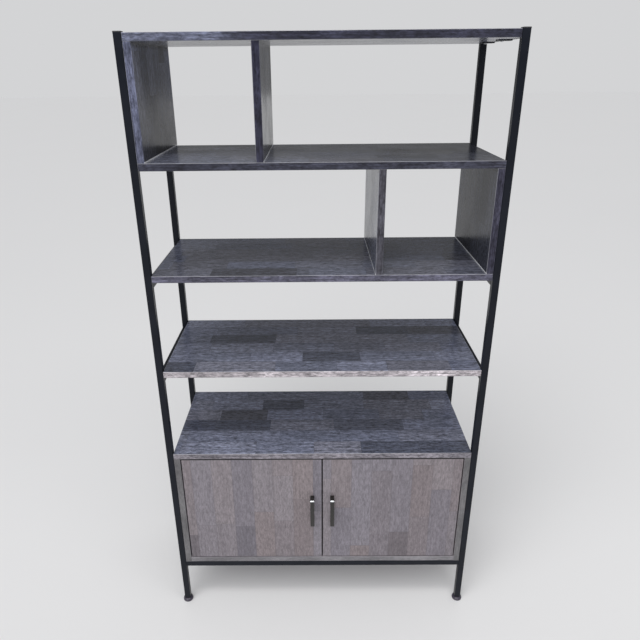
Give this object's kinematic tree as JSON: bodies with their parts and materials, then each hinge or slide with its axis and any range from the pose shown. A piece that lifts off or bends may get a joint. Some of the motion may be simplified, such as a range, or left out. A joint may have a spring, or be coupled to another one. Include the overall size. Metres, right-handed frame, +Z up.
{
  "type": "bookcase",
  "caption": "Tall open bookcase: black square-tube frame, dark stained wooden shelves with offset dividers, and a low cabinet with a pair of hinged doors.",
  "frame": {"origin": "on the floor, at the middle of the overall box", "axes": "+Z up, +X to the right along the front, +Y from the front to the back"},
  "size_m": [1.014, 0.434, 1.865],
  "materials": {
    "frame_paint": "satin black powder coat on square steel tube",
    "board_wood": "finger-jointed solid wood staves, charcoal stain, semi-gloss lacquer",
    "door_wood": "upright staves, charcoal stain with a brown-mauve cast, semi-gloss lacquer",
    "back_wood": "thin stained panel",
    "handle_paint": "satin black flat bar",
    "foot_plastic": "dark grey glossy moulded foot",
    "cap_plastic": "black moulded plastic",
    "zinc_steel": "bright zinc-plated steel",
    "magnet": "nickel-plated magnet",
    "dowel_wood": "bare beech dowel"
  },
  "bodies": {
    "root": {"base_cross_rails": "frame_paint", "base_side_rails": "frame_paint", "cabinet_back": "back_wood", "cabinet_base_screws": "zinc_steel", "cabinet_bottom": "board_wood", "cabinet_leg_screws": "zinc_steel", "cabinet_shelf": "board_wood", "cabinet_side_left": "door_wood", "cabinet_side_right": "door_wood", "cabinet_top": "board_wood", "catch_housing": "cap_plastic", "catch_magnets": "magnet", "catch_screws": "zinc_steel", "divider_left": "board_wood", "divider_right": "board_wood", "dowels": "dowel_wood", "hinge_arms": "zinc_steel", "hinge_plate_screws": "zinc_steel", "hinge_plates": "zinc_steel", "leg_caps": "cap_plastic", "leg_front_left": "frame_paint", "leg_front_right": "frame_paint", "leg_inserts": "cap_plastic", "leg_rear_left": "frame_paint", "leg_rear_right": "frame_paint", "lower_side_rails": "frame_paint", "middle_side_rails": "frame_paint", "shelf_lower": "board_wood", "shelf_middle": "board_wood", "shelf_pegs": "zinc_steel", "shelf_tab_screws": "zinc_steel", "shelf_tabs": "frame_paint", "shelf_upper": "board_wood", "side_panel_left": "board_wood", "side_panel_right": "board_wood", "top_board": "board_wood", "top_side_rails": "frame_paint", "upper_side_rails": "frame_paint", "upright_screws": "zinc_steel"},
    "left_door": {"door_left": "door_wood", "door_strike_left": "zinc_steel", "handle_left": "handle_paint", "handle_screws_left": "zinc_steel", "hinge_cup_screws_left": "zinc_steel", "hinge_cups_left": "zinc_steel"},
    "right_door": {"door_right": "door_wood", "door_strike_right": "zinc_steel", "handle_right": "handle_paint", "handle_screws_right": "zinc_steel", "hinge_cup_screws_right": "zinc_steel", "hinge_cups_right": "zinc_steel"},
    "front_left_foot": {"foot_front_left": "foot_plastic", "foot_stud_front_left": "zinc_steel"},
    "front_right_foot": {"foot_front_right": "foot_plastic", "foot_stud_front_right": "zinc_steel"},
    "rear_left_foot": {"foot_rear_left": "foot_plastic", "foot_stud_rear_left": "zinc_steel"},
    "rear_right_foot": {"foot_rear_right": "foot_plastic", "foot_stud_rear_right": "zinc_steel"}
  },
  "joints": [
    {"name": "left_door_swing", "type": "hinge", "parent": "root", "child": "left_door", "pos_m": [-0.4375, -0.179, 0.415], "axis": [0, 0, -1], "range_deg": [0, 95]},
    {"name": "right_door_swing", "type": "hinge", "parent": "root", "child": "right_door", "pos_m": [0.4375, -0.179, 0.415], "axis": [0, 0, 1], "range_deg": [0, 95]},
    {"name": "front_left_foot_travel", "type": "slide", "parent": "root", "child": "front_left_foot", "axis": [0, 0, -1], "range_m": [0, 0.01]},
    {"name": "front_right_foot_travel", "type": "slide", "parent": "root", "child": "front_right_foot", "axis": [0, 0, -1], "range_m": [0, 0.01]},
    {"name": "rear_left_foot_travel", "type": "slide", "parent": "root", "child": "rear_left_foot", "axis": [0, 0, -1], "range_m": [0, 0.01]},
    {"name": "rear_right_foot_travel", "type": "slide", "parent": "root", "child": "rear_right_foot", "axis": [0, 0, -1], "range_m": [0, 0.01]}
  ]
}
